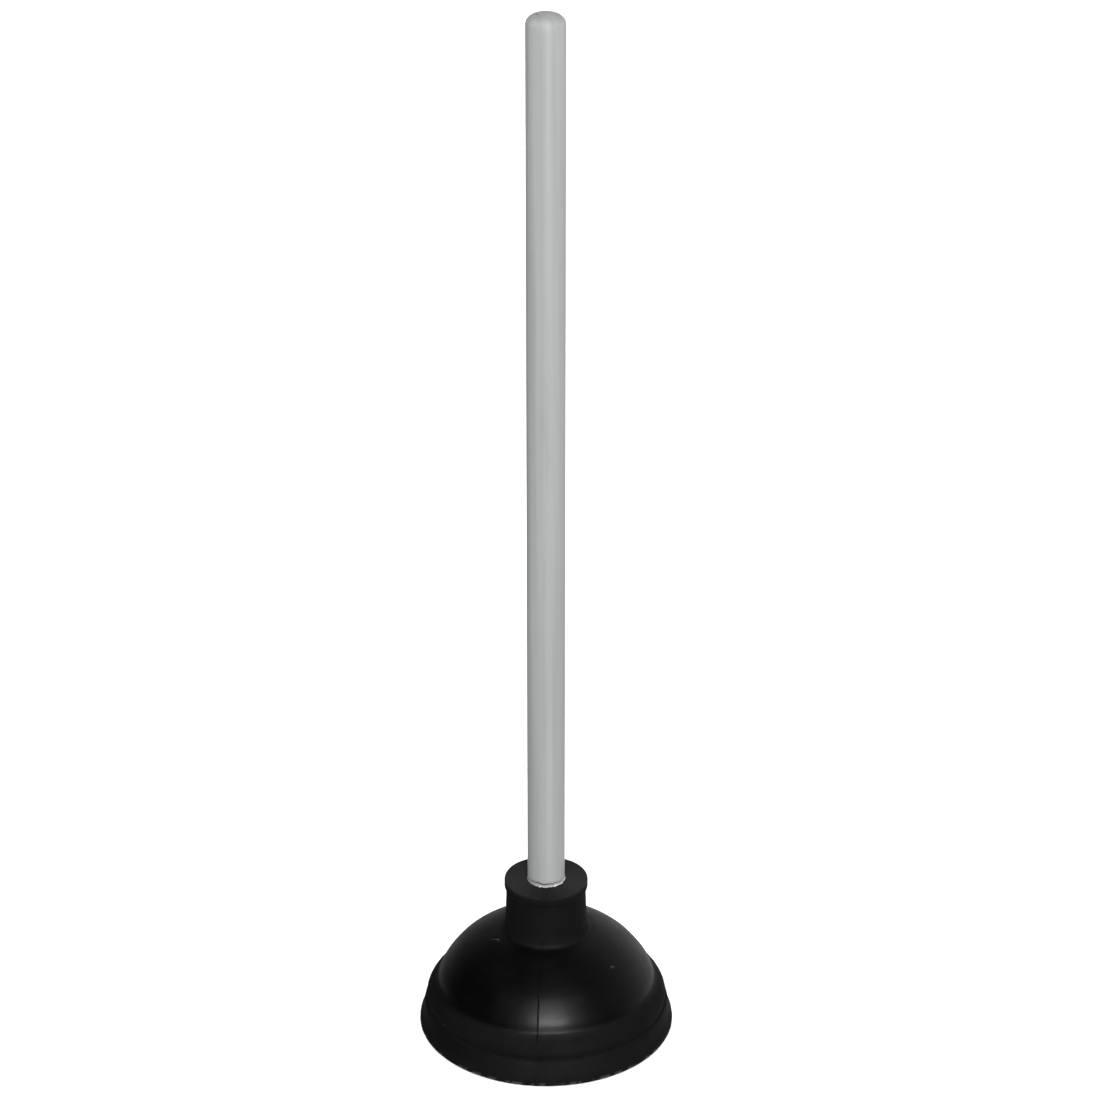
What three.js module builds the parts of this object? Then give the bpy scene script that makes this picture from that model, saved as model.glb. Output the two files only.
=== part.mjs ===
// A toilet plunger: a moulded rubber force cup on a straight, painted wooden handle.
//
// Millimetres, +Z up. The origin is the centre of the cup's rim, on the plane that it stands on,
// and +Z runs up the handle. The cup is one rubber moulding. It is split here into the three zones
// that move differently: the skirt that stays on the floor, the bell that flexes, and the neck that
// holds the handle.

import * as THREE from 'three';

// ---------------------------------------------------------------- driving dimensions

const GAP = 0.3; // clearance between neighbouring solids
const CUP_SEGMENTS = 48; // facets round the skirt and the bell
const HANDLE_SEGMENTS = 32; // facets round the neck, the handle and the adhesive
const CURVE_STEPS = 5; // straight steps in each rounded stretch of an outline

const HANDLE_RADIUS = 11.1; // a 7/8 in dowel
const HANDLE_TOP = 631.7; // overall height of the plunger
const HANDLE_CAP_HEIGHT = 3.5; // crown of the rounded end
const HANDLE_CAP_RADIUS = 10.1; // radius at which the crown meets the rounded edge
const HANDLE_CAP_BEND = 7.7; // radius that the crown bends towards, at its own height
const HANDLE_EDGE = 3.5; // height of the rounded edge below the crown

const NECK_TOP = 97.8; // height of the flat face round the handle
const SOCKET_DEPTH = 30; // from that face down to the socket's floor
const SOCKET_MOUTH = 6; // plain stretch of the socket, above its thread
const MOUTH_BEVEL = 0.7; // bevel round the socket's mouth

const THREAD_ROOT_RADIUS = 9.2; // core of the threaded tenon
const THREAD_HEIGHT = 1.4; // how far the thread stands out of the core
const THREAD_PITCH = 6;
const THREAD_ROWS = 24; // rows of points along the thread
const TENON_BEVEL = 1.2;

const ADHESIVE_RADIUS = 12.9; // outer edge of the bead round the handle's foot
const ADHESIVE_HEIGHT = 1.1;

// A point of an outline: distance from the axis, and height above the rim's plane
const at = (radius, height) => new THREE.Vector2(radius, height);
const raised = (point, rise) => at(point.x, point.y + rise);

// The rim: a flat seat between two rounded corners, and a short band
const SEAT_INNER = at(72, 0);
const SEAT_OUTER = at(76.1, 0);
const RIM_FOOT = at(76.8, 0.8);
const RIM_HEAD = at(76.5, 3.2);
const RIM_INSIDE = at(70.8, 1.4);

// The skirt: a steep cone, a narrow groove, then a rounded shoulder
const SKIRT_FOOT = at(75.1, 6.2);
const SKIRT_HEAD = at(73.2, 14.7);
const SKIRT_HEAD_INNER = at(67.3, 15.2);
const GROOVE = at(71.1, 15.5);
const SHOULDER_FOOT = at(71.7, 16.3);
const SHOULDER_BEND = at(73.9, 21.5);
const SHOULDER_BEND_INNER = at(66.9, 23.4);

// The crease where the shoulder ends and the bell begins, on both sides of the wall
const CREASE_OUTER = at(65, 29.7);
const CREASE_INNER = at(60.8, 27.2);

// The bell: a steep rise that rounds over into a dome
const BELL_BEND_OUTER = at(63.3, 36.6);
const BELL_BEND_INNER = at(59, 35);
const DOME_FOOT_OUTER = at(54.7, 46.8);
const DOME_FOOT_INNER = at(51.4, 43.6);
const DOME_BEND_OUTER = at(49.3, 52.4);
const DOME_BEND_INNER = at(46.4, 48.8);

// Where the bell hands over to the neck, part of the way up the dome
const CROWN_OUTER = at(43.2, 56.3);
const CROWN_INNER = at(40.7, 52.5);
const CROWN_RISE = 0.38; // upright gap there, which is GAP measured along the dome

// The neck: the dome's top, which flattens, a tight fillet, a slim shank, and a bead round its lip
const TOP_BEND_OUTER = at(35.5, 61.4);
const TOP_BEND_INNER = at(33.6, 57);
const TOP_OUTER = at(27.4, 63.3);
const TOP_INNER = at(27.5, 58.5);
const FILLET_BEND = at(25.4, 63.8);
const FILLET_HEAD = at(24.9, 66.4);
const SHANK_FOOT = at(24.3, 71);
const SHANK_HEAD = at(23.7, 90.2);
const LIP_FOOT = at(25, 92.4);
const LIP_HEAD = at(25, 96.6);
const LIP_TOP_RADIUS = 24;
const CEILING_BEND = at(24, 59.4);
const CEILING_RADIUS = 18;

// Heights inside the socket that follow from those dimensions
const SOCKET_FLOOR = NECK_TOP - SOCKET_DEPTH;
const THREAD_HEAD = NECK_TOP - SOCKET_MOUTH;
const THREAD_FOOT = SOCKET_FLOOR + TENON_BEVEL + GAP;

// ---------------------------------------------------------------- materials

const rubber = new THREE.MeshStandardMaterial({ color: 0x161617, roughness: 0.5, metalness: 0 });
const greyPaint = new THREE.MeshStandardMaterial({ color: 0xb4b6b5, roughness: 0.42, metalness: 0 });
const driedGlue = new THREE.MeshStandardMaterial({ color: 0xd8d6cf, roughness: 0.7, metalness: 0 });

// ---------------------------------------------------------------- helpers

// An outline made of straight runs, and of rounded stretches that bend towards a point
class Outline {
  constructor(start) {
    this.path = new THREE.Path();
    this.path.moveTo(start.x, start.y);
  }

  line(...points) {
    points.forEach((point) => this.path.lineTo(point.x, point.y));
    return this;
  }

  bend(towards, end) {
    this.path.quadraticCurveTo(towards.x, towards.y, end.x, end.y);
    return this;
  }

  // Turns the outline once round the Z axis
  turned(segments) {
    const geometry = new THREE.LatheGeometry(this.path.getPoints(CURVE_STEPS), segments);
    return geometry.rotateX(Math.PI / 2);
  }
}

// Points up a plain wall, close enough together for a thread to be raised on it
function threadedWall(radius, foot, head) {
  const rise = (head - foot) / THREAD_ROWS;
  return Array.from({ length: THREAD_ROWS + 1 }, (_, row) => at(radius, foot + row * rise));
}

// How far the rounded thread stands out at an angle and a height. It runs out at both ends.
function threadHeight(angle, height) {
  const turns = height / THREAD_PITCH - angle / (2 * Math.PI);
  const wave = (1 + Math.cos(2 * Math.PI * turns)) / 2;
  const fromEnds = Math.min(height - THREAD_FOOT, THREAD_HEAD - height);
  return THREAD_HEIGHT * wave * THREE.MathUtils.clamp((2 * fromEnds) / THREAD_PITCH, 0, 1);
}

// Raises the thread on the points of a turned solid that lie on a wall of this radius
function raiseThread(geometry, wallRadius) {
  const position = geometry.getAttribute('position');
  const tolerance = 0.01;
  for (let i = 0; i < position.count; i += 1) {
    const x = position.getX(i);
    const y = position.getY(i);
    const height = position.getZ(i);
    const onWall = Math.abs(Math.hypot(x, y) - wallRadius) < tolerance;
    if (onWall && height > THREAD_FOOT && height < THREAD_HEAD) {
      const scale = 1 + threadHeight(Math.atan2(y, x), height) / wallRadius;
      position.setXYZ(i, x * scale, y * scale, height);
    }
  }
  return geometry;
}

// ---------------------------------------------------------------- the rubber cup

function cupSkirt() {
  return new Outline(SEAT_INNER)
    .line(SEAT_OUTER)
    .bend(at(RIM_FOOT.x, 0), RIM_FOOT)
    .line(RIM_HEAD)
    .bend(at(RIM_HEAD.x, (RIM_HEAD.y + SKIRT_FOOT.y) / 2), SKIRT_FOOT)
    .line(SKIRT_HEAD, GROOVE, SHOULDER_FOOT)
    .bend(SHOULDER_BEND, CREASE_OUTER)
    .line(CREASE_INNER)
    .bend(SHOULDER_BEND_INNER, SKIRT_HEAD_INNER)
    .line(RIM_INSIDE)
    .bend(at(RIM_INSIDE.x, 0), SEAT_INNER)
    .turned(CUP_SEGMENTS);
}

function cupBell() {
  const foot = raised(CREASE_OUTER, GAP);
  return new Outline(foot)
    .bend(BELL_BEND_OUTER, DOME_FOOT_OUTER)
    .bend(DOME_BEND_OUTER, CROWN_OUTER)
    .line(CROWN_INNER)
    .bend(DOME_BEND_INNER, DOME_FOOT_INNER)
    .bend(BELL_BEND_INNER, raised(CREASE_INNER, GAP))
    .line(foot)
    .turned(CUP_SEGMENTS);
}

function cupNeck() {
  const threadRadius = THREAD_ROOT_RADIUS + GAP;
  const mouthRadius = HANDLE_RADIUS + GAP;
  const ceiling = CEILING_BEND.y;
  const shape = new Outline(at(0, ceiling))
    .line(at(CEILING_RADIUS, ceiling))
    .bend(CEILING_BEND, TOP_INNER)
    .bend(TOP_BEND_INNER, raised(CROWN_INNER, CROWN_RISE))
    .line(raised(CROWN_OUTER, CROWN_RISE))
    .bend(TOP_BEND_OUTER, TOP_OUTER)
    .bend(FILLET_BEND, FILLET_HEAD)
    .line(SHANK_FOOT, SHANK_HEAD)
    .bend(at(LIP_FOOT.x, SHANK_HEAD.y), LIP_FOOT)
    .line(LIP_HEAD)
    .bend(at(LIP_HEAD.x, NECK_TOP), at(LIP_TOP_RADIUS, NECK_TOP))
    .line(at(mouthRadius + MOUTH_BEVEL, NECK_TOP), at(mouthRadius, NECK_TOP - MOUTH_BEVEL))
    .line(at(mouthRadius, THREAD_HEAD - GAP))
    .line(...threadedWall(threadRadius, THREAD_FOOT, THREAD_HEAD - GAP).reverse())
    .line(at(threadRadius, SOCKET_FLOOR), at(0, SOCKET_FLOOR))
    .turned(HANDLE_SEGMENTS);
  return raiseThread(shape, threadRadius);
}

// ---------------------------------------------------------------- the handle

function handle() {
  const end = SOCKET_FLOOR + GAP;
  const capFoot = HANDLE_TOP - HANDLE_CAP_HEIGHT;
  const shape = new Outline(at(0, end))
    .line(at(THREAD_ROOT_RADIUS - TENON_BEVEL, end))
    .line(...threadedWall(THREAD_ROOT_RADIUS, THREAD_FOOT, THREAD_HEAD))
    .line(at(HANDLE_RADIUS, THREAD_HEAD), at(HANDLE_RADIUS, capFoot - HANDLE_EDGE))
    .bend(at(HANDLE_RADIUS, capFoot - HANDLE_EDGE / 4), at(HANDLE_CAP_RADIUS, capFoot))
    .bend(at(HANDLE_CAP_BEND, HANDLE_TOP), at(0, HANDLE_TOP))
    .turned(HANDLE_SEGMENTS);
  return raiseThread(shape, THREAD_ROOT_RADIUS);
}

// The bead of adhesive that has dried round the handle's foot, on the neck's flat face
function adhesiveBead() {
  const foot = NECK_TOP + GAP;
  const inside = HANDLE_RADIUS + GAP;
  return new Outline(at(inside, foot))
    .line(at(ADHESIVE_RADIUS, foot))
    .bend(at(inside + GAP, foot + GAP), at(inside, foot + ADHESIVE_HEIGHT))
    .line(at(inside, foot))
    .turned(HANDLE_SEGMENTS);
}

// ---------------------------------------------------------------- assembly

const plunger = new THREE.Group();

function addPart(name, geometry, material) {
  const mesh = new THREE.Mesh(geometry, material);
  mesh.name = name;
  plunger.add(mesh);
}

addPart('cup_skirt', cupSkirt(), rubber);
addPart('cup_bell', cupBell(), rubber);
addPart('cup_neck', cupNeck(), rubber);
addPart('handle', handle(), greyPaint);
addPart('adhesive_bead', adhesiveBead(), driedGlue);

export default plunger;
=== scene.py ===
"""A toilet plunger: a stepped black rubber force cup on a straight, grey painted handle.

Metres, in the CAD model's frame: +Z runs up the handle from the plane that the rim stands on,
and the camera looks along +Y. Outlines and reliefs are worked out in millimetres: MM turns them
into metres as each mesh is made.
"""
import math
from collections import namedtuple

import bpy
import numpy as np
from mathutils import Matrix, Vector, noise


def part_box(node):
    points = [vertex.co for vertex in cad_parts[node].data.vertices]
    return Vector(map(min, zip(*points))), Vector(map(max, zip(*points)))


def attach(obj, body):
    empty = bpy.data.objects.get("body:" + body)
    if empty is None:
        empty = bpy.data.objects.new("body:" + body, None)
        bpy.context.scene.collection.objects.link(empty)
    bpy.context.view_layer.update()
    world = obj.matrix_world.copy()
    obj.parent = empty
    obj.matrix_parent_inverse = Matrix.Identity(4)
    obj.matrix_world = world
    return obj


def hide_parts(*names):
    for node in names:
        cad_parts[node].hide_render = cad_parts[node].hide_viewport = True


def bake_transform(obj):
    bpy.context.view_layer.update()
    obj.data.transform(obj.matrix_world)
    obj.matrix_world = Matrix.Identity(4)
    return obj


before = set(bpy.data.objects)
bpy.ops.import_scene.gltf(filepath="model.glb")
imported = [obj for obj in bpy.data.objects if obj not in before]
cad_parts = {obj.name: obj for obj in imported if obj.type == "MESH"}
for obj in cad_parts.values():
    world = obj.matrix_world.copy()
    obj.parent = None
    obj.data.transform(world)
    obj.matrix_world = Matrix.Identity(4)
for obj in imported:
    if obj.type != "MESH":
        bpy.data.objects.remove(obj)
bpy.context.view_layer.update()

MM = 0.001

# ---------------------------------------------------------------- sizes taken from the frame, in mm

RIM_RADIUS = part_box("cup_skirt")[1].x / MM
CREASE_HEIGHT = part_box("cup_skirt")[1].z / MM
CREASE_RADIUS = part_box("cup_bell")[1].x / MM
CROWN_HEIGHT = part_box("cup_bell")[1].z / MM
CROWN_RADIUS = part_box("cup_neck")[1].x / MM
NECK_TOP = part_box("cup_neck")[1].z / MM
HANDLE_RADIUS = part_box("handle")[1].x / MM
HANDLE_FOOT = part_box("handle")[0].z / MM
HANDLE_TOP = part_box("handle")[1].z / MM

# ---------------------------------------------------------------- sizes of the rubber cup, in mm

SEAT_MIDDLE = 74.1  # radius of the middle of the flat ring that the rim stands on
RIM_INSET = 0.2  # room left inside the CAD rim for the relief
CROWN_INNER = (40.7, CROWN_HEIGHT - 3.8)  # where the body's inside meets the neck's
CEILING = 59.4  # height of the flat middle of the cup's inside
LIP_RADIUS = 24.9
MOUTH_RADIUS = HANDLE_RADIUS + 0.12
SOCKET_FLOOR = HANDLE_FOOT - 0.3

OUT_OF_ROUND = 0.05
PARTING_ANGLE = math.radians(-94.4)  # the mould's parting line; another is opposite it
PARTING_DEPTH = 0.32  # how far the parting line stands out
PARTING_WIDTH = 0.3
PARTING_CLEAREST = 34  # height at which the parting line stands out most
FLASH_DEPTH = 0.14  # how far the trimmed flash round the foot of the rim stands out
FLASH_HEIGHT = 0.9
FLASH_WIDTH = 0.25

# Small cuts in the rubber. A negative depth is a lump. The slant is from the level, in radians.
Cut = namedtuple("Cut", "angle radius height half_length half_width depth slant")
CUTS = (
    Cut(math.radians(-159), 31.5, 62.1, 2.3, 0.5, 0.6, 0.5),
    Cut(math.radians(-35), 48.0, 52.8, 1.5, 0.36, 0.45, -0.3),
    Cut(math.radians(-148), 72.6, 18.6, 1.0, 0.45, -0.3, 0.0),
)
CUT_CURVE = 0.12  # how strongly each cut curves

# The mesh of the cup has this many columns, and closer ones, as (half width, spacing), near lines
CUP_COLUMN_COUNT = 288
NEAR_PARTING = (math.radians(0.75), math.radians(0.125))
NEAR_CUT = (math.radians(3.5), math.radians(0.3))

# Heights between which the finish of the rubber changes
SKIRT_STARTS = (5, 8)
SKIRT_ENDS = (13.5, 15.5)
BELL_STARTS = (CREASE_HEIGHT - 4, CREASE_HEIGHT + 2)
BELL_ENDS = (62, 66)
SKIRT_POLISH = 0.25  # how far the skirt is polished, where the bell is 1

# ---------------------------------------------------------------- sizes of the handle, in mm

CAP_HEIGHT = 3.5
CAP_RADIUS = 10.1
CAP_BEND = 7.7  # radius that the crown bends towards
CAP_EDGE = 3.5  # height of the rounded edge below the crown
DENT_ANGLE = math.radians(-166)
DENT_RADIUS = 4.7  # how far the dent in the handle's end lies from the axis
DENT_LENGTH = 1.1
DENT_WIDTH = 0.6
DENT_DEPTH = 0.5
DARK_LINE_ANGLE = math.radians(-100)  # the side on which the line over the adhesive is darkest
HANDLE_COLUMN_COUNT = 160

# ---------------------------------------------------------------- sizes of the adhesive, in mm

COLLAR_FOOT = NECK_TOP - 0.3
COLLAR_THICKEST = math.radians(-58)
COLLAR_COLUMN_COUNT = 480
# The collar's section, as parts of its width out from the handle and of its height
COLLAR_SECTION = (
    (0.35, -0.2),
    (1.0, 0.0),
    (0.95, 0.3),
    (0.75, 0.55),
    (0.6, 0.85),
    (0.42, 1.0),
    (0.25, 0.95),
    (0.12, 0.5),
)

# ---------------------------------------------------------------- outlines

STEP = 0.1  # spacing of the points that an outline is softened with
BEND_STEPS = 80
FINE_REACH = 1.8  # how far above and below a fine height the points are close
FINE_SPACING = 0.3


class Outline:
    """The outline of a turned shape, as (radius, height) points."""

    def __init__(self, start):
        self.found = [np.array(start, float)]

    def line(self, *points):
        """Straight on to each of the points."""
        for point in points:
            start, end = self.found[-1], np.array(point, float)
            steps = max(1, int(np.linalg.norm(end - start) / STEP))
            self.found += [start + (end - start) * i / steps for i in range(1, steps + 1)]
        return self

    def bend(self, towards, end):
        """A curve that leaves for one point and comes from it to the end."""
        start, towards, end = self.found[-1], np.array(towards, float), np.array(end, float)
        for i in range(1, BEND_STEPS + 1):
            t = i / BEND_STEPS
            self.found.append((1 - t) ** 2 * start + 2 * t * (1 - t) * towards + t * t * end)
        return self

    def softened(self, reach, longest=1.8, sharpest=5.0, fine_heights=()):
        """The outline with each corner rounded over about reach, and only the points that it needs."""
        points = evenly_spaced(np.array(self.found), STEP)
        spread = int(3 * reach / STEP)
        kernel = np.exp(-0.5 * (np.arange(-spread, spread + 1) * STEP / reach) ** 2)
        kernel /= kernel.sum()
        smooth = points.copy()
        for k in (0, 1):
            smooth[spread:-spread, k] = np.convolve(points[:, k], kernel, "valid")
        return thinned(smooth, longest, sharpest, fine_heights)


def evenly_spaced(points, step):
    """The same outline, with its points a step apart."""
    lengths = np.concatenate([[0], np.cumsum(np.linalg.norm(np.diff(points, axis=0), axis=1))])
    places = np.linspace(0, lengths[-1], int(lengths[-1] / step) + 1)
    return np.column_stack([np.interp(places, lengths, points[:, k]) for k in (0, 1)])


def thinned(points, longest, sharpest, fine_heights):
    """Drops points until the next is longest away, or the outline has turned by sharpest degrees.
    Points near one of the fine heights are kept closer."""
    steps = np.diff(points, axis=0)
    headings = np.unwrap(np.arctan2(steps[:, 1], steps[:, 0]))
    kept, last = [0], 0
    for i in range(1, len(points) - 1):
        fine = any(abs(points[i, 1] - height) < FINE_REACH for height in fine_heights)
        far = np.linalg.norm(points[i] - points[last]) >= (FINE_SPACING if fine else longest)
        turned = abs(headings[i] - headings[last]) >= math.radians(sharpest)
        if far or turned:
            kept.append(i)
            last = i
    return points[kept + [len(points) - 1]]


# ---------------------------------------------------------------- turned meshes


def around(angle, centre):
    """The signed angle from centre to angle, from -pi to pi."""
    return (angle - centre + math.pi) % (2 * math.pi) - math.pi


def columns(count, fine=()):
    """Even angles round the axis, and closer ones in each fine zone of (centre, half width, spacing)."""
    angles = np.arange(count) * 2 * math.pi / count
    for centre, half, spacing in fine:
        angles = angles[np.abs(around(angles, centre)) > half + 0.4 * spacing]
    close = [
        centre + np.linspace(-half, half, int(2 * half / spacing) + 1)
        for centre, half, spacing in fine
    ]
    return np.unique(np.round(np.concatenate([angles, *close]) % (2 * math.pi), 7))


def turned(name, outline, angles, relief=None, closed=False, seam=()):
    """A turned mesh in metres. relief(angle, radius, height) is how far each point stands out, in mm.
    A closed outline meets itself; an open one starts and ends on the axis. seam lists the two rows
    on either side of where two outlines were joined, whose edges stay sharp."""
    before, after = np.roll(outline, 1, axis=0), np.roll(outline, -1, axis=0)
    if not closed:
        before[0], after[-1] = outline[0], outline[-1]
    for row in seam[:1]:
        after[row], before[row + 1] = outline[row], outline[row + 1]
    along = after - before
    along /= np.maximum(np.linalg.norm(along, axis=1, keepdims=True), 1e-9)
    radius = np.repeat(outline[:, :1], len(angles), axis=1)
    height = np.repeat(outline[:, 1:], len(angles), axis=1)
    if relief is not None:
        out = relief(angles[None, :], radius, height)
        radius, height = radius + along[:, 1:] * out, np.maximum(height - along[:, :1] * out, 0)
    count, rows = len(angles), len(outline)
    on_axis = [not closed and row in (0, rows - 1) for row in range(rows)]
    points = np.stack([radius * np.cos(angles), radius * np.sin(angles), height], axis=2) * MM
    vertices, starts = [], []
    for row in range(rows):
        starts.append(len(vertices))
        vertices += [(0, 0, height[row, 0] * MM)] if on_axis[row] else points[row].tolist()
    faces = []
    for row in range(rows if closed else rows - 1):
        low, high = starts[row], starts[(row + 1) % rows]
        for a in range(count):
            b = (a + 1) % count
            foot = [low] if on_axis[row] else [low + a, low + b]
            head = [high] if on_axis[(row + 1) % rows] else [high + b, high + a]
            faces.append(foot + head)
    piece = mesh_piece(name, vertices, faces)
    keep_sharp(piece.data, [range(starts[row], starts[row] + count) for row in seam])
    return piece


def mesh_piece(name, vertices, faces):
    """A smoothly shaded mesh object."""
    mesh = bpy.data.meshes.new(name)
    mesh.from_pydata(vertices, [], faces)
    mesh.polygons.foreach_set("use_smooth", [True] * len(mesh.polygons))
    piece = bpy.data.objects.new(name, mesh)
    bpy.context.scene.collection.objects.link(piece)
    return piece


def keep_sharp(mesh, rings):
    """Keeps the shading on the two sides of each ring of vertices apart."""
    sharp = mesh.attributes.new("sharp_edge", "BOOLEAN", "EDGE")
    for edge in mesh.edges:
        a, b = edge.vertices
        sharp.data[edge.index].value = any(a in ring and b in ring for ring in rings)


def rise(value, low, high):
    """0 below low, 1 above high, and smooth between."""
    t = min(1.0, max(0.0, (value - low) / (high - low)))
    return t * t * (3 - 2 * t)


def mark(piece, name, amount):
    """Stores amount(angle, radius, height), kept from 0 to 1, on each vertex. Lengths are in mm."""
    stored = piece.data.attributes.new(name, "FLOAT", "POINT").data
    for vertex in piece.data.vertices:
        x, y, z = vertex.co / MM
        found = float(amount(math.atan2(y, x), math.hypot(x, y), z))
        stored[vertex.index].value = min(1.0, max(0.0, found))


def fractal(x, y, z):
    """Noise from 0 to 1."""
    dimension, lacunarity, octaves = 0.7, 2.1, 5
    found = noise.fractal(Vector((x, y, z)), dimension, lacunarity, octaves)
    return min(1.0, max(0.0, 0.5 + 0.5 * found))


def ring_noise(angle, seed, scale):
    """Noise from 0 to 1 that meets itself after a full turn."""
    return fractal(math.cos(angle) * scale, math.sin(angle) * scale, seed)


# ---------------------------------------------------------------- the rubber cup


def from_cut(cut, angle, radius, height):
    """How far a point lies from a cut's middle, along the cut and across it."""
    sideways = around(angle, cut.angle) * radius
    upwards = np.sign(height - cut.height) * np.hypot(height - cut.height, radius - cut.radius)
    along = sideways * math.cos(cut.slant) + upwards * math.sin(cut.slant)
    across = upwards * math.cos(cut.slant) - sideways * math.sin(cut.slant) + CUT_CURVE * along**2
    return along, across


def moulded(angle, radius, height):
    """The moulding's relief: barely out of round, with two parting lines, trimmed flash and small cuts."""
    wave = np.sin(3 * angle + 0.06 * height) + 0.6 * np.sin(7 * angle + 1.3 - 0.11 * height)
    relief = OUT_OF_ROUND * wave * np.clip((height - 5) / 12, 0, 1)
    strength = 0.3 + 0.7 * np.exp(-(((height - PARTING_CLEAREST) / 12) ** 2))
    for centre in (PARTING_ANGLE, PARTING_ANGLE + math.pi):
        across = around(angle, centre) * radius
        relief = relief + PARTING_DEPTH * strength * np.exp(-((across / PARTING_WIDTH) ** 2))
    ragged = np.sin(23 * angle) + np.sin(41 * angle + 2.0) + np.sin(67 * angle + 0.7)
    flash = FLASH_DEPTH * np.clip(0.4 + 0.3 * ragged, 0, 1)
    relief = relief + flash * np.exp(-(((height - FLASH_HEIGHT) / FLASH_WIDTH) ** 2))
    for cut in CUTS:
        along, across = from_cut(cut, angle, radius, height)
        within = np.exp(-((along / cut.half_length) ** 2) - (across / cut.half_width) ** 2)
        relief = relief - cut.depth * within
    return relief


def matt(angle, radius, height):
    """How matt the moulding is: its bell is polished, its skirt a little, and the rest is matt."""
    skirt = rise(height, *SKIRT_STARTS) * (1 - rise(height, *SKIRT_ENDS))
    bell = rise(height, *BELL_STARTS) * (1 - rise(height, *BELL_ENDS))
    return 1 - max(SKIRT_POLISH * skirt, bell)


def pale_marks_and_glints(angle, radius, height):
    """Where the rubber is paler: dashes of scuffing and painted highlight on the trimmed flash round the
    rim's foot, dust on the lip's top with a painted sheen at its left and right, and a painted highlight
    below each cut."""
    # Dashes along the trimmed flash: partly scuffing, partly a painted highlight on the flash.
    dashes = rise(ring_noise(angle, 21.0, 16.0), 0.5, 0.62)
    trimmed = dashes * math.exp(-(((height - FLASH_HEIGHT) / 0.7) ** 2)) * (radius > SEAT_MIDDLE)
    # Dust on the top of the lip, made lighter at the left and right as a painted sheen.
    dust = 0.2 * (0.2 + 0.8 * abs(math.cos(angle))) * rise(height, NECK_TOP - 1.5, NECK_TOP - 0.6)
    edges = 0.0
    # A painted highlight along the lower edge of each cut.
    for cut in CUTS:
        along, across = from_cut(cut, angle, radius, height)
        below = (across + 1.7 * cut.half_width) / cut.half_width
        edges = max(edges, 0.6 * math.exp(-((along / cut.half_length) ** 2) - below**2))
    return max(0.75 * trimmed, dust, edges)


def outside_only(count):
    """The moulded relief on the first count rows of an outline, and none on the rest."""

    def relief(angle, radius, height):
        out = moulded(angle, radius, height)
        out[count:] = 0
        return out

    return relief


CUT_HEIGHTS = [cut.height for cut in CUTS]
CUP_COLUMNS = columns(
    CUP_COLUMN_COUNT,
    [(PARTING_ANGLE + turn, *NEAR_PARTING) for turn in (0, math.pi)]
    + [(cut.angle, *NEAR_CUT) for cut in CUTS],
)


def cup_body():
    """The rim, skirt, shoulder and bell, from the floor up to the crown."""
    band = RIM_RADIUS - RIM_INSET
    outside = (
        Outline((SEAT_MIDDLE, 0))
        # the rim's band
        .line((band - 0.5, 0), (band, 0.5), (band - 0.2, 3))
        .bend((band - 0.6, 4.8), (75.1, 6.2))
        # the skirt, and the groove above it
        .line((73.2, 14.8), (71.5, 15.5), (71.8, 16.5))
        # the shoulder and the crease
        .bend((73.7, 21.4), (CREASE_RADIUS + 1.1, CREASE_HEIGHT - 1.0))
        .bend((CREASE_RADIUS, CREASE_HEIGHT), (CREASE_RADIUS - 0.4, CREASE_HEIGHT + 1.7))
        # the bell
        .bend((63.3, 36.6), (54.7, 46.8))
        .bend((49.3, 52.4), (CROWN_RADIUS, CROWN_HEIGHT))
        .softened(0.4, fine_heights=CUT_HEIGHTS)
    )
    inside = (
        Outline(CROWN_INNER)
        .bend((46.4, 48.8), (51.4, 43.6))
        .bend((59, 35), (60.8, 27.3))
        .bend((66.9, 23.4), (67.3, 15.3))
        .line((70.8, 1.8))
        .bend((70.8, 0), (72.2, 0))
        .line((SEAT_MIDDLE - 0.3, 0))
        .softened(0.5)
    )
    seam = len(outside) - 1
    outline = np.vstack([outside, inside])
    return turned("rubber_cup_body", outline, CUP_COLUMNS, outside_only(seam + 1), True, (seam, seam + 1))


def cup_neck():
    """The crown, the neck with its lip, and the socket that holds the handle."""
    outside = (
        Outline((CROWN_RADIUS, CROWN_HEIGHT))
        # the crown and the fillet
        .bend((35.5, 61.35), (27.4, 63.25))
        .bend((25.4, 63.8), (24.9, 66.4))
        # the neck, its lip and the socket
        .line((24.3, 71), (23.75, 90.1))
        .bend((23.8, 91.6), (LIP_RADIUS - 0.2, 92.2))
        .line((LIP_RADIUS, 92.8), (LIP_RADIUS, NECK_TOP - 0.9))
        .bend((LIP_RADIUS, NECK_TOP - 0.05), (LIP_RADIUS - 1, NECK_TOP - 0.05))
        .line((MOUTH_RADIUS + 1.4, NECK_TOP - 0.25))
        .bend((MOUTH_RADIUS, NECK_TOP - 0.3), (MOUTH_RADIUS, NECK_TOP - 1.8))
        .line((MOUTH_RADIUS, SOCKET_FLOOR), (0, SOCKET_FLOOR))
        .softened(0.3, fine_heights=CUT_HEIGHTS)
    )
    inside = (
        Outline((0, CEILING))
        .line((18, CEILING))
        .bend((24, CEILING), (27.5, 58.5))
        .bend((33.6, 57), CROWN_INNER)
        .softened(0.5)
    )
    seam = len(inside) - 1
    outline = np.vstack([inside, outside])

    def relief(angle, radius, height):
        out = moulded(angle, radius, height)
        out[: seam + 1] = 0
        near_socket = radius[:, 0] < MOUTH_RADIUS + 2
        out[near_socket] = 0
        return out

    return turned("rubber_cup_neck", outline, CUP_COLUMNS, relief, False, (seam, seam + 1))


# ---------------------------------------------------------------- the handle and its adhesive


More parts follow.
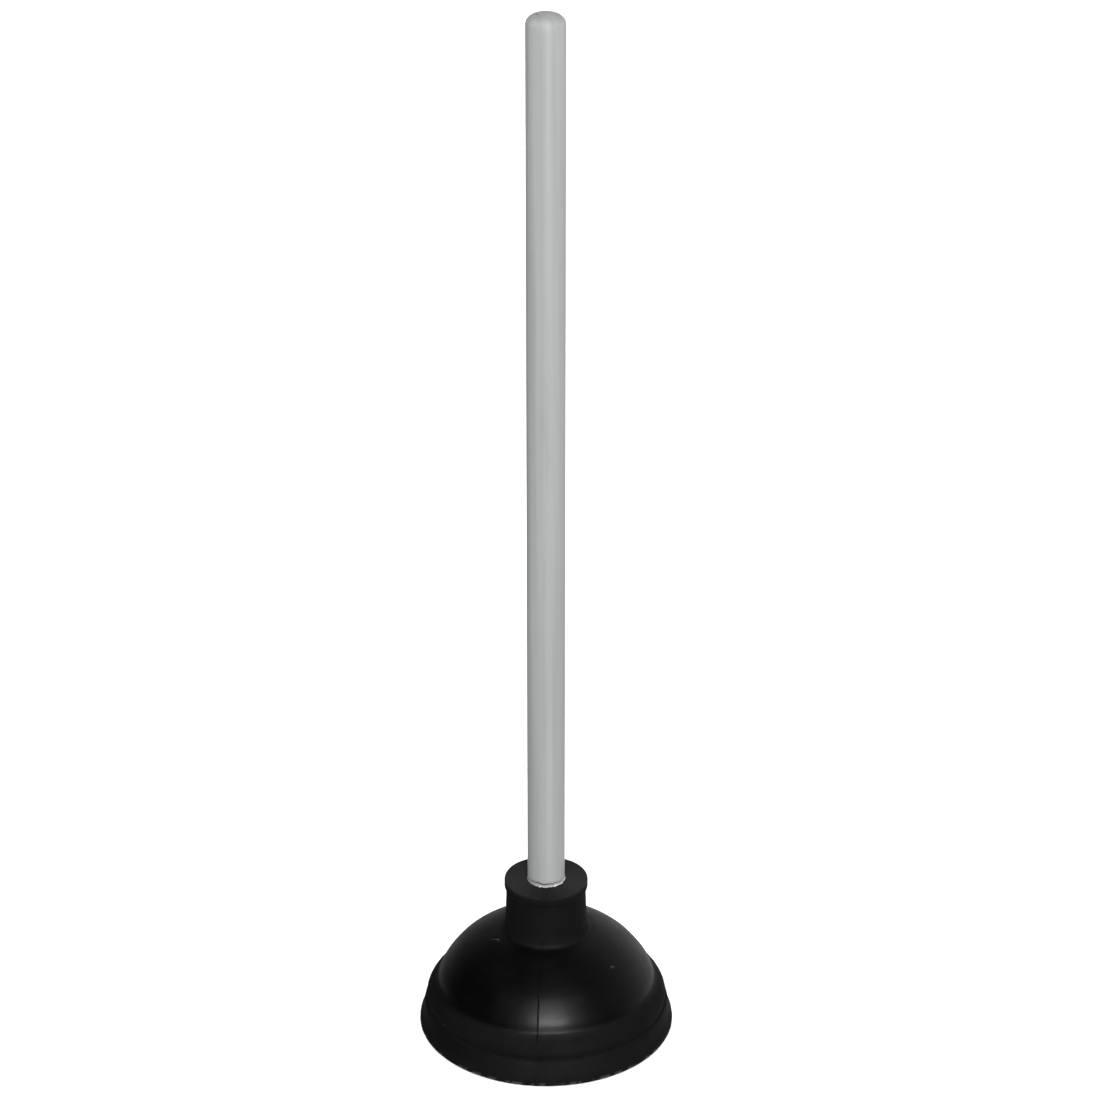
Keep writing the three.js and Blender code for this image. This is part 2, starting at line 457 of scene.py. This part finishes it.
def dent_depth(angle, radius, height):
    """The small dent in the crowned end, from 0 to 1."""
    x = radius * np.cos(angle) - DENT_RADIUS * math.cos(DENT_ANGLE)
    y = radius * np.sin(angle) - DENT_RADIUS * math.sin(DENT_ANGLE)
    on_cap = height > HANDLE_TOP - CAP_HEIGHT - 2
    return np.where(on_cap, np.exp(-((x / DENT_LENGTH) ** 2) - (y / DENT_WIDTH) ** 2), 0)


def handle():
    """The dowel with its rounded, crowned end, which has a small dent."""
    cap = HANDLE_TOP - CAP_HEIGHT
    outline = (
        Outline((0, HANDLE_FOOT))
        .line((HANDLE_RADIUS - 1, HANDLE_FOOT), (HANDLE_RADIUS, HANDLE_FOOT + 1))
        .line((HANDLE_RADIUS, NECK_TOP - 2))
        .line((HANDLE_RADIUS, NECK_TOP + 4))
        .line((HANDLE_RADIUS, cap - CAP_EDGE))
        .bend((HANDLE_RADIUS, cap - CAP_EDGE / 4), (CAP_RADIUS, cap))
        .bend((CAP_BEND, HANDLE_TOP), (0, HANDLE_TOP))
        .softened(0.3, longest=4, sharpest=3, fine_heights=(NECK_TOP + 1, NECK_TOP + 3, cap + 2))
    )
    angles = columns(HANDLE_COLUMN_COUNT)
    piece = turned("handle_dowel", outline, angles, lambda *at: -DENT_DEPTH * dent_depth(*at))
    # The dark line over the adhesive, and painted shade inside the socket and in the dent
    mark(piece, "dark_line_and_shade", dark_line_and_painted_shade)
    return piece


def dark_line_and_painted_shade(angle, radius, height):
    """Where the paint is darker: all of the foot that the socket hides, as painted shade inside the
    socket, a ragged line over the adhesive, darkest at the front, and the dent in the end, as painted
    shade in it."""
    line = NECK_TOP + 1.0 + 1.6 * ring_noise(angle, 12.5, 4.0)
    front = 0.25 + 0.75 * max(0.0, math.cos(angle - DARK_LINE_ANGLE)) ** 2
    # A dark ragged line over the adhesive, darkest at the front; below the neck's top the whole foot is
    # painted shade inside the socket.
    dark_line_and_socket_shade = front * math.exp(-(((height - line) / 0.6) ** 2)) if height > NECK_TOP else 1.0
    # The dent in the end is darkened as painted shade in it.
    return max(dark_line_and_socket_shade, 2.2 * float(dent_depth(angle, radius, height)) - 0.5)


def adhesive():
    """A ragged collar of dried adhesive and scraped paint, thickest at the front right."""
    angles = columns(COLLAR_COLUMN_COUNT)
    vertices, faces = [], []
    for out, up in COLLAR_SECTION:
        for angle in angles:
            thick = 0.08 + 0.92 * max(0.0, math.cos(angle - COLLAR_THICKEST)) ** 1.5
            width = 0.2 + 1.5 * thick * ring_noise(angle, 3.7 + up, 7.0) ** 2
            tall = 0.1 + 1.7 * thick * ring_noise(angle, 8.1, 11.0) ** 1.5
            radius = HANDLE_RADIUS + out * width
            height = COLLAR_FOOT + up * tall
            vertices.append((radius * math.cos(angle) * MM, radius * math.sin(angle) * MM, height * MM))
    count, rows = len(angles), len(COLLAR_SECTION)
    for row in range(rows):
        low, high = row * count, (row + 1) % rows * count
        for a in range(count):
            b = (a + 1) % count
            faces.append((low + a, low + b, high + b, high + a))
    return mesh_piece("adhesive_collar", vertices, faces)


# ---------------------------------------------------------------- materials

RUBBER_DARKEST = (0.0011, 0.0012, 0.0012)
RUBBER_LIGHTEST = (0.0028, 0.0028, 0.0029)
RUBBER_DUST = (0.012, 0.0118, 0.0112)
# Paler rubber for scuffs and dust, and for painted highlights and sheen
RUBBER_PALE_AND_GLINT = (0.11, 0.11, 0.108)
POLISHED, MATT = 0.405, 0.84  # roughness of the rubber's two finishes
PAINT_DARKEST = (0.42, 0.43, 0.425)
PAINT_LIGHTEST = (0.505, 0.515, 0.51)
PAINT_SMEARED = (0.35, 0.35, 0.34)
# Darkest paint: a line over the adhesive, and painted shade inside the socket and in the dent
PAINT_DARK_AND_SHADE = (0.05, 0.045, 0.04)
ADHESIVE_DARKEST = (0.4, 0.395, 0.385)
ADHESIVE_LIGHTEST = (0.86, 0.86, 0.84)


def calculate(tree, operation, first, second):
    """The result of a maths node. Each of its two values is a number or another node's output."""
    node = tree.nodes.new("ShaderNodeMath")
    node.operation = operation
    for socket, value in zip(node.inputs, (first, second)):
        if isinstance(value, float):
            socket.default_value = value
        else:
            tree.links.new(value, socket)
    return node.outputs["Value"]


class Nodes:
    """A material's node tree, with the few kinds of link that the materials here need."""

    def __init__(self, name):
        self.material = bpy.data.materials.new(name)
        self.material.use_nodes = True
        self.tree = self.material.node_tree
        self.shader = self.tree.nodes["Principled BSDF"]
        self.place = self.tree.nodes.new("ShaderNodeTexCoord").outputs["Object"]

    def noise(self, scale, detail=3.0, stretch=(1, 1, 1), roughness=0.5):
        """Noise in the piece's own space. The smaller stretch is along an axis, the longer it is there."""
        mapping = self.tree.nodes.new("ShaderNodeMapping")
        mapping.inputs["Scale"].default_value = stretch
        self.tree.links.new(self.place, mapping.inputs["Vector"])
        node = self.tree.nodes.new("ShaderNodeTexNoise")
        node.inputs["Scale"].default_value = scale
        node.inputs["Detail"].default_value = detail
        node.inputs["Roughness"].default_value = roughness
        self.tree.links.new(mapping.outputs["Vector"], node.inputs["Vector"])
        return node.outputs["Fac"]

    def span(self, value, low, high, to_low, to_high):
        """The value, with low to high turned into to_low to to_high, and nothing outside that."""
        node = self.tree.nodes.new("ShaderNodeMapRange")
        numbers = {"From Min": low, "From Max": high, "To Min": to_low, "To Max": to_high}
        for name, number in numbers.items():
            node.inputs[name].default_value = number
        self.tree.links.new(value, node.inputs["Value"])
        return node.outputs["Result"]

    def mix(self, factor, first, second):
        """The first colour where factor is 0, and the second where it is 1."""
        node = self.tree.nodes.new("ShaderNodeMix")
        node.data_type = "RGBA"
        sockets = [s for s in node.inputs if s.type == "RGBA"]
        for socket, colour in zip(sockets, (first, second)):
            if isinstance(colour, tuple):
                socket.default_value = (*colour, 1)
            else:
                self.tree.links.new(colour, socket)
        self.tree.links.new(factor, node.inputs["Factor"])
        return next(s for s in node.outputs if s.type == "RGBA")

    def attribute(self, name):
        """What mark stored on the piece under this name."""
        node = self.tree.nodes.new("ShaderNodeAttribute")
        node.attribute_name = name
        return node.outputs["Fac"]

    def bump(self, height, distance, strength, under=None):
        """A normal with bumps, on top of the bumps under it. distance is in metres."""
        node = self.tree.nodes.new("ShaderNodeBump")
        node.inputs["Distance"].default_value = distance
        node.inputs["Strength"].default_value = strength
        self.tree.links.new(height, node.inputs["Height"])
        if under is not None:
            self.tree.links.new(under, node.inputs["Normal"])
        return node.outputs["Normal"]

    def show_front_only(self):
        """Makes the backs of the faces invisible."""
        side = self.tree.nodes.new("ShaderNodeNewGeometry").outputs["Backfacing"]
        clear = self.tree.nodes.new("ShaderNodeBsdfTransparent")
        mix = self.tree.nodes.new("ShaderNodeMixShader")
        self.tree.links.new(side, mix.inputs["Fac"])
        self.tree.links.new(self.shader.outputs["BSDF"], mix.inputs[1])
        self.tree.links.new(clear.outputs["BSDF"], mix.inputs[2])
        self.tree.links.new(mix.outputs["Shader"], self.tree.nodes["Material Output"].inputs["Surface"])

    def set(self, name, value):
        """Sets one of the shader's inputs, or links it."""
        socket = self.shader.inputs[name]
        if isinstance(value, (int, float, tuple)):
            socket.default_value = value
        else:
            self.tree.links.new(value, socket)


def rubber():
    """Black rubber, mottled and dusty, with fine grain and scratches, paler scuffs and dust, and painted
    highlights and sheen.
    """
    m = Nodes("black_rubber")
    mottle = m.noise(55, 4)
    grain = m.noise(1400, 3)
    scratches = m.noise(420, 3, (1, 1, 0.12))
    tone = m.span(mottle, 0.35, 0.7, 0, 1)
    clean = m.mix(tone, RUBBER_DARKEST, RUBBER_LIGHTEST)
    dust = m.span(m.noise(240, 5, roughness=0.7), 0.6, 0.75, 0, 0.35)
    dusty = m.mix(dust, clean, RUBBER_DUST)
    # Paler where marked: scuffs and dust, with painted highlights on the flash and the cuts and a painted
    # sheen on the lip
    m.set("Base Color", m.mix(m.attribute("pale_marks_and_glints"), dusty, RUBBER_PALE_AND_GLINT))
    finish = m.span(m.attribute("matt"), 0, 1, POLISHED, MATT)
    uneven = m.span(m.noise(90, 3), 0.3, 0.7, -0.035, 0.035)
    m.set("Roughness", calculate(m.tree, "ADD", finish, uneven))
    m.set("Specular IOR Level", 0.42)
    ripples = m.bump(mottle, 0.0006, 0.12)
    m.set("Normal", m.bump(grain, 0.00006, 0.35, m.bump(scratches, 0.00005, 0.2, ripples)))
    return m.material


def paint():
    """Satin grey paint with long faint streaks and smears, darker along a line over the adhesive, and
    painted shade inside the socket and in the dent.
    """
    m = Nodes("grey_paint")
    streaks = m.noise(260, 3, (1, 1, 0.02))
    clean = m.mix(m.span(streaks, 0.3, 0.7, 0, 1), PAINT_DARKEST, PAINT_LIGHTEST)
    smears = m.span(m.noise(45, 6, (1, 1, 0.3), 0.65), 0.6, 0.72, 0, 0.45)
    smeared = m.mix(smears, clean, PAINT_SMEARED)
    # Darker along the line over the adhesive, and painted shade on the foot inside the socket and in the
    # dent
    m.set("Base Color", m.mix(m.attribute("dark_line_and_shade"), smeared, PAINT_DARK_AND_SHADE))
    m.set("Roughness", m.span(m.noise(120, 3, (1, 1, 0.1)), 0.3, 0.7, 0.4, 0.55))
    m.set("Specular IOR Level", 0.4)
    m.set("Normal", m.bump(streaks, 0.0002, 0.2))
    return m.material


def dried_adhesive():
    """Crumbly, whitish adhesive."""
    m = Nodes("dried_adhesive")
    crumbs = m.noise(900, 5)
    tone = m.span(crumbs, 0.4, 0.6, 0, 1)
    m.set("Base Color", m.mix(tone, ADHESIVE_DARKEST, ADHESIVE_LIGHTEST))
    m.set("Roughness", m.span(crumbs, 0.3, 0.7, 0.5, 0.8))
    m.set("Normal", m.bump(crumbs, 0.0004, 0.6))
    return m.material


# ---------------------------------------------------------------- the pieces on their bodies


def dress(piece, material, slot, *nodes):
    """Gives a piece its material, and hides the CAD nodes that it stands for. slot is not used."""
    piece.data.materials.append(material)
    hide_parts(*nodes)


black = rubber()
body = cup_body()
neck = cup_neck()
for moulding in (body, neck):
    mark(moulding, "matt", matt)
    # The paler marks: scuffs and dust, partly painted highlight and sheen
    mark(moulding, "pale_marks_and_glints", pale_marks_and_glints)

dress(body, black, "rubber", "cup_skirt", "cup_bell")
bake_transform(body)

dress(neck, black, "rubber", "cup_neck")
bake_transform(neck)

dowel = handle()
dress(dowel, paint(), "handle_paint", "handle")
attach(dowel, "handle")

collar = adhesive()
dress(collar, dried_adhesive(), "adhesive", "adhesive_bead")
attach(collar, "handle")

# ---------------------------------------------------------------- floor, light and camera

CAMERA_DISTANCE = 1.8543
CAMERA_HEIGHT = 1.1986
CAMERA_PITCH = math.radians(25.5)  # how far it looks down
CAMERA_ASIDE = 0.0023  # how far it stands to the right of the axis
CAMERA_LENS = 117.7
SENSOR_WIDTH = 36

STAGE_REACH = 12.0  # how far the floor and the backdrop reach
FLOOR_DROP = 0.0002  # keeps the floor just below the rim

# The studio's walls, as soft glows: azimuth, elevation and strength of each
GLOWS = (
    (180, -30, 0.33),
    (180, 30, 0.085),
    (135, 0, 0.395),
    (0, -90, 0.3),
)
GLOW_SHARPNESS = 3.0

# The lights: size in metres, power in watts, azimuth and elevation, and whether the dark rubber
# mirrors the light
LIGHTS = {
    "flash": (0.35, 28, 5, 22, True),
    "soft_left": (1.2, 19.5, -62, 25, False),
    "soft_right": (1.2, 22.5, 62, 25, False),
    "soft_back": (1.2, 20, 180, 25, False),
    "soft_top": (1.2, 7.5, 0, 78, False),
}
LIGHT_DISTANCE = 2.2
AIM_HEIGHT = 0.15
FLOOR_LIGHT_STRENGTH = 3.7


def set_stage():
    """A pale floor, and a pale backdrop all round. Only the camera sees them: they cast no light on
    the object, and the black rubber doesn't mirror them."""
    signs = ((-1, -1), (1, -1), (1, 1), (-1, 1))
    corners = [(x * STAGE_REACH, y * STAGE_REACH, 0) for x, y in signs]
    floor = mesh_piece("floor", corners, [(0, 1, 2, 3)])
    floor.location.z = -FLOOR_DROP
    m = Nodes("pale_floor")
    m.set("Base Color", (0.86, 0.86, 0.86, 1))
    m.set("Roughness", 0.9)
    m.set("Specular IOR Level", 0.0)
    m.show_front_only()
    floor.data.materials.append(m.material)
    backdrop = ball("backdrop", STAGE_REACH)
    m = Nodes("pale_backdrop")
    m.set("Base Color", (0, 0, 0, 1))
    m.set("Specular IOR Level", 0.0)
    m.set("Emission Color", (1, 1, 1, 1))
    m.set("Emission Strength", 1.0)
    backdrop.data.materials.append(m.material)
    for piece in (floor, backdrop):
        piece.visible_diffuse = False
        piece.visible_glossy = False
        piece.visible_shadow = False
    return floor


def ball(name, radius):
    """A plain sphere that faces inwards."""
    rows, count = 16, 32
    turns = [2 * math.pi * k / count for k in range(count)]
    points = []
    for row in range(1, rows):
        up = math.pi * row / rows
        flat, height = radius * math.sin(up), -radius * math.cos(up)
        points += [(flat * math.cos(t), flat * math.sin(t), height) for t in turns]
    faces = []
    for row in range(rows - 2):
        for k in range(count):
            low, high, after = row * count, (row + 1) * count, (k + 1) % count
            faces.append((low + k, high + k, high + after, low + after))
    last = (rows - 2) * count
    points += [(0, 0, -radius), (0, 0, radius)]
    for k in range(count):
        after = (k + 1) % count
        faces.append((k, after, len(points) - 2))
        faces.append((last + after, last + k, len(points) - 1))
    return mesh_piece(name, points, faces)


def direction(azimuth, elevation):
    """The direction from the object, in degrees: azimuth 0 is the camera's side, and 90 the right."""
    a, e = math.radians(azimuth), math.radians(elevation)
    return Vector((math.sin(a) * math.cos(e), -math.cos(a) * math.cos(e), math.sin(e)))


def area_light(name, size, power, azimuth, elevation, mirrored):
    """A square soft light, aimed at the object. The dark rubber mirrors it unless mirrored is false."""
    data = bpy.data.lights.new(name, "AREA")
    data.size = size
    data.energy = power
    light = bpy.data.objects.new(name, data)
    towards = direction(azimuth, elevation)
    light.location = Vector((0, 0, AIM_HEIGHT)) + towards * LIGHT_DISTANCE
    light.visible_glossy = mirrored
    light.rotation_mode = "QUATERNION"
    light.rotation_quaternion = towards.to_track_quat("Z", "Y")
    bpy.context.scene.collection.objects.link(light)


def light_evenly(floor):
    """A soft light from straight above that only the floor receives, so that it is as pale far away
    as near by."""
    data = bpy.data.lights.new("floor_light", "SUN")
    data.energy = FLOOR_LIGHT_STRENGTH
    data.angle = math.radians(120)
    overhead = bpy.data.objects.new("floor_light", data)
    bpy.context.scene.collection.objects.link(overhead)
    lit = bpy.data.collections.new("lit_by_floor_light")
    lit.objects.link(floor)
    overhead.light_linking.receiver_collection = lit


def surroundings():
    """Light from all round, as the sum of the glows."""
    world = bpy.data.worlds.new("studio")
    bpy.context.scene.world = world
    world.use_nodes = True
    tree = world.node_tree
    background = tree.nodes["Background"]
    background.inputs["Color"].default_value = (1, 1, 1, 1)
    place = tree.nodes.new("ShaderNodeTexCoord").outputs["Generated"]
    total = 0.0
    for azimuth, elevation, strength in GLOWS:
        facing = tree.nodes.new("ShaderNodeVectorMath")
        facing.operation = "DOT_PRODUCT"
        facing.inputs[1].default_value = direction(azimuth, elevation)
        tree.links.new(place, facing.inputs[0])
        ahead = calculate(tree, "MAXIMUM", facing.outputs["Value"], 0.0)
        lobe = calculate(tree, "POWER", ahead, GLOW_SHARPNESS)
        total = calculate(tree, "ADD", total, calculate(tree, "MULTIPLY", lobe, strength))
    tree.links.new(total, background.inputs["Strength"])


floor = set_stage()
surroundings()
for name, settings in LIGHTS.items():
    area_light(name, *settings)
light_evenly(floor)

camera = bpy.data.objects.new("camera", bpy.data.cameras.new("camera"))
camera.data.lens = CAMERA_LENS
camera.data.sensor_width = SENSOR_WIDTH
camera.location = (CAMERA_ASIDE, -CAMERA_DISTANCE, CAMERA_HEIGHT)
camera.rotation_euler = (math.radians(90) - CAMERA_PITCH, 0, 0)
bpy.context.scene.collection.objects.link(camera)
bpy.context.scene.camera = camera
bpy.context.scene.view_settings.view_transform = "Standard"
